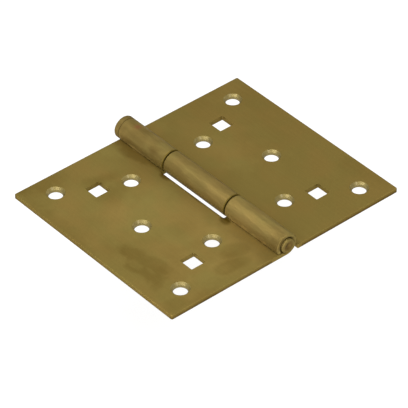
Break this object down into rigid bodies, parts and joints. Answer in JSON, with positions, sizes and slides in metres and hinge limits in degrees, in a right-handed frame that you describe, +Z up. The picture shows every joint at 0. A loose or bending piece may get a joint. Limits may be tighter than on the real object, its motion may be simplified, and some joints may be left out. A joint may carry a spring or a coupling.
{
  "type": "construction hinge",
  "caption": "Heavy sheet-steel butt hinge that lies flat when open, with broad leaves, rolled knuckles on a headed pin, countersunk screw holes and square bolt holes.",
  "frame": {"origin": "on the mounting plane under both leaves, straight below the pin axis, halfway along the leaves", "axes": "+X from the leaf with the outer knuckles to the leaf with the middle knuckle, +Y along the pin towards its formed head, +Z up out of the countersunk faces; the leaves lie open at 180 degrees"},
  "size_m": [0.121, 0.1035, 0.0104],
  "materials": {
    "outer_leaf_steel": "yellow-passivated zinc plate, satin",
    "middle_leaf_steel": "yellow-passivated zinc plate, satin",
    "pin_steel": "yellow-passivated zinc plate, satin"
  },
  "bodies": {
    "fixed_leaf": {"outer_knuckle_leaf": "outer_leaf_steel", "hinge_pin": "pin_steel"},
    "moving_leaf": {"middle_knuckle_leaf": "middle_leaf_steel"}
  },
  "joints": [
    {"name": "leaf_swing", "type": "hinge", "parent": "fixed_leaf", "child": "moving_leaf", "pos_m": [0, 0, 0.0052], "axis": [0, -1, 0], "range_deg": [-92, 185]}
  ]
}
